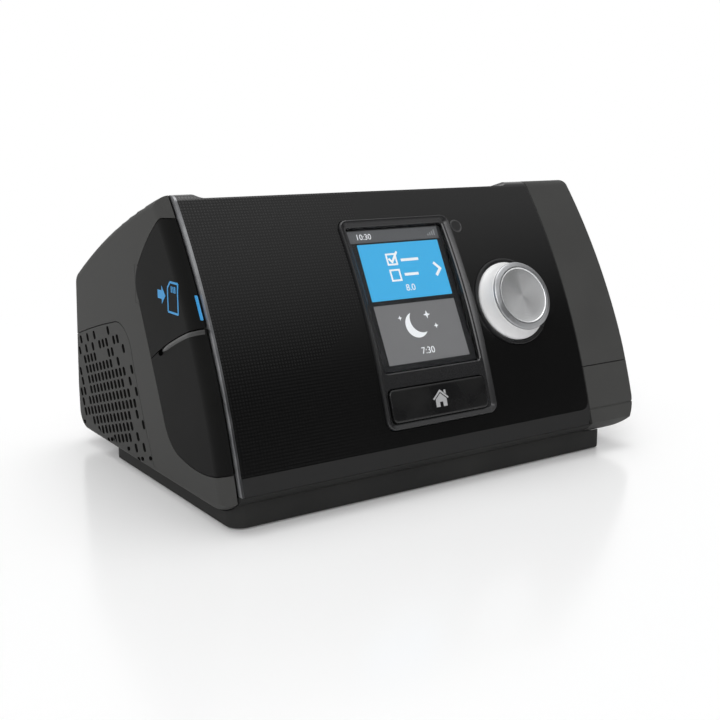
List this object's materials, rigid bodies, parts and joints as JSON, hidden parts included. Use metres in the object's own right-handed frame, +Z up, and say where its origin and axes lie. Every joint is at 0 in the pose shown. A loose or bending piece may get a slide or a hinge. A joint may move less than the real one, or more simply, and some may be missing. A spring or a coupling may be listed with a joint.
{
  "type": "bedside CPAP breathing machine with humidifier",
  "caption": "Bedside breathing machine: sloped gloss front with screen, home button and push-turn dial, side inlet grille, rear air port and a slide-out humidifier tub.",
  "frame": {"origin": "on the table under the middle of the machine", "axes": "+X to the right seen from the front, +Y to the rear, +Z up"},
  "size_m": [0.205, 0.15, 0.116],
  "materials": {
    "casing": "fine-textured moulded charcoal ABS",
    "cover": "fine-textured moulded dark grey ABS",
    "fascia": "gloss black moulding with a fine dot texture",
    "trim": "thin bright plated edge strip",
    "base": "moulded dark grey",
    "bezel": "satin dark grey frame",
    "button": "gloss black key",
    "lens": "clear screen window",
    "screen": "lit colour display",
    "knob": "satin silver with a spun face",
    "rubber": "black moulded rubber",
    "steel": "plain bright steel",
    "aluminium": "plain sheet",
    "board": "green solder-masked circuit board",
    "inner": "plain light grey moulding",
    "foam": "open-cell grey foam",
    "filter": "white fibre filter",
    "tub": "translucent smoke-grey moulding",
    "card": "blue memory card"
  },
  "bodies": {
    "root": {"main_housing": "casing", "front_fascia": "fascia", "trim_strip": "trim", "base_tray": "base", "rubber_feet": "rubber", "base_screws": "steel", "card_cover_pin": "steel", "display_bezel": "bezel", "display_lens": "lens", "lcd_module": "screen", "lcd_frame": "inner", "home_button_switch": "inner", "start_stop_switch": "inner", "start_stop_board": "board", "dial_ring": "bezel", "dial_encoder": "inner", "light_sensor_lens": "lens", "main_board": "board", "board_screws": "steel", "card_socket": "steel", "adapter_connector": "inner", "muffler_box": "inner", "muffler_lid": "inner", "muffler_foam": "foam", "blower_volute_lower": "inner", "blower_volute_upper": "inner", "blower_motor": "steel", "blower_mounts": "rubber", "outlet_bellows": "rubber", "riser_duct": "inner", "outlet_duct": "inner", "air_outlet": "casing", "tube_contacts": "steel", "tub_bay": "inner", "port_seals": "rubber", "heater_plate": "aluminium", "heater_insulator": "foam", "power_inlet": "base"},
    "tub": {"tub_base": "tub", "tub_heat_plate": "steel", "tub_seal": "rubber", "tub_lid": "tub", "tub_end_cover": "casing", "tub_end_base": "casing"},
    "start_stop": {"start_stop_button": "button"},
    "home": {"home_button": "button"},
    "encoder_push": {"encoder_plunger": "steel"},
    "dial": {"dial_knob": "knob", "dial_cap": "knob", "encoder_shaft": "steel"},
    "card_door": {"card_cover": "cover"},
    "adapter_door": {"adapter_cover": "cover"},
    "filter_door": {"filter_cover": "casing", "air_filter": "filter"},
    "clip": {"retention_clip": "base"},
    "card": {"memory_card": "card"},
    "rotor": {"impeller": "inner", "rotor_shaft": "steel"}
  },
  "joints": [
    {"name": "tub_slide", "type": "slide", "parent": "root", "child": "tub", "axis": [1, 0, 0], "range_m": [0, 0.12]},
    {"name": "start_stop_press", "type": "slide", "parent": "root", "child": "start_stop", "axis": [0, -0.2645, -0.9644], "range_m": [0, 0.001], "stiffness_N_per_m": 900, "springref_m": -0.0002},
    {"name": "home_press", "type": "slide", "parent": "root", "child": "home", "axis": [0, 0.9529, -0.3032], "range_m": [0, 0.0008], "stiffness_N_per_m": 900, "springref_m": -0.0002},
    {"name": "dial_press", "type": "slide", "parent": "root", "child": "encoder_push", "axis": [0, 0.9051, -0.4252], "range_m": [0, 0.001], "stiffness_N_per_m": 1200, "springref_m": -0.0003},
    {"name": "dial_turn", "type": "hinge", "parent": "encoder_push", "child": "dial", "pos_m": [0.0415, -0.05579, 0.06832], "axis": [0, -0.9051, 0.4252], "continuous": true},
    {"name": "card_cover_swing", "type": "hinge", "parent": "root", "child": "card_door", "pos_m": [-0.1012, 0.0008, 0.08], "axis": [0, 0, -1], "range_deg": [0, 80]},
    {"name": "adapter_cover_off", "type": "slide", "parent": "root", "child": "adapter_door", "axis": [-1, 0, 0], "range_m": [0, 0.02]},
    {"name": "filter_cover_off", "type": "slide", "parent": "root", "child": "filter_door", "axis": [-1, 0, 0], "range_m": [0, 0.03]},
    {"name": "clip_swing", "type": "hinge", "parent": "root", "child": "clip", "pos_m": [-0.06, 0.0722, 0.0356], "axis": [-1, 0, 0], "range_deg": [0, 100]},
    {"name": "card_push", "type": "slide", "parent": "root", "child": "card", "axis": [1, 0, 0], "range_m": [0, 0.001], "stiffness_N_per_m": 300, "springref_m": -0.0002},
    {"name": "impeller_spin", "type": "hinge", "parent": "root", "child": "rotor", "pos_m": [-0.053, 0.0095, 0.03], "axis": [0, 0, 1], "continuous": true}
  ]
}
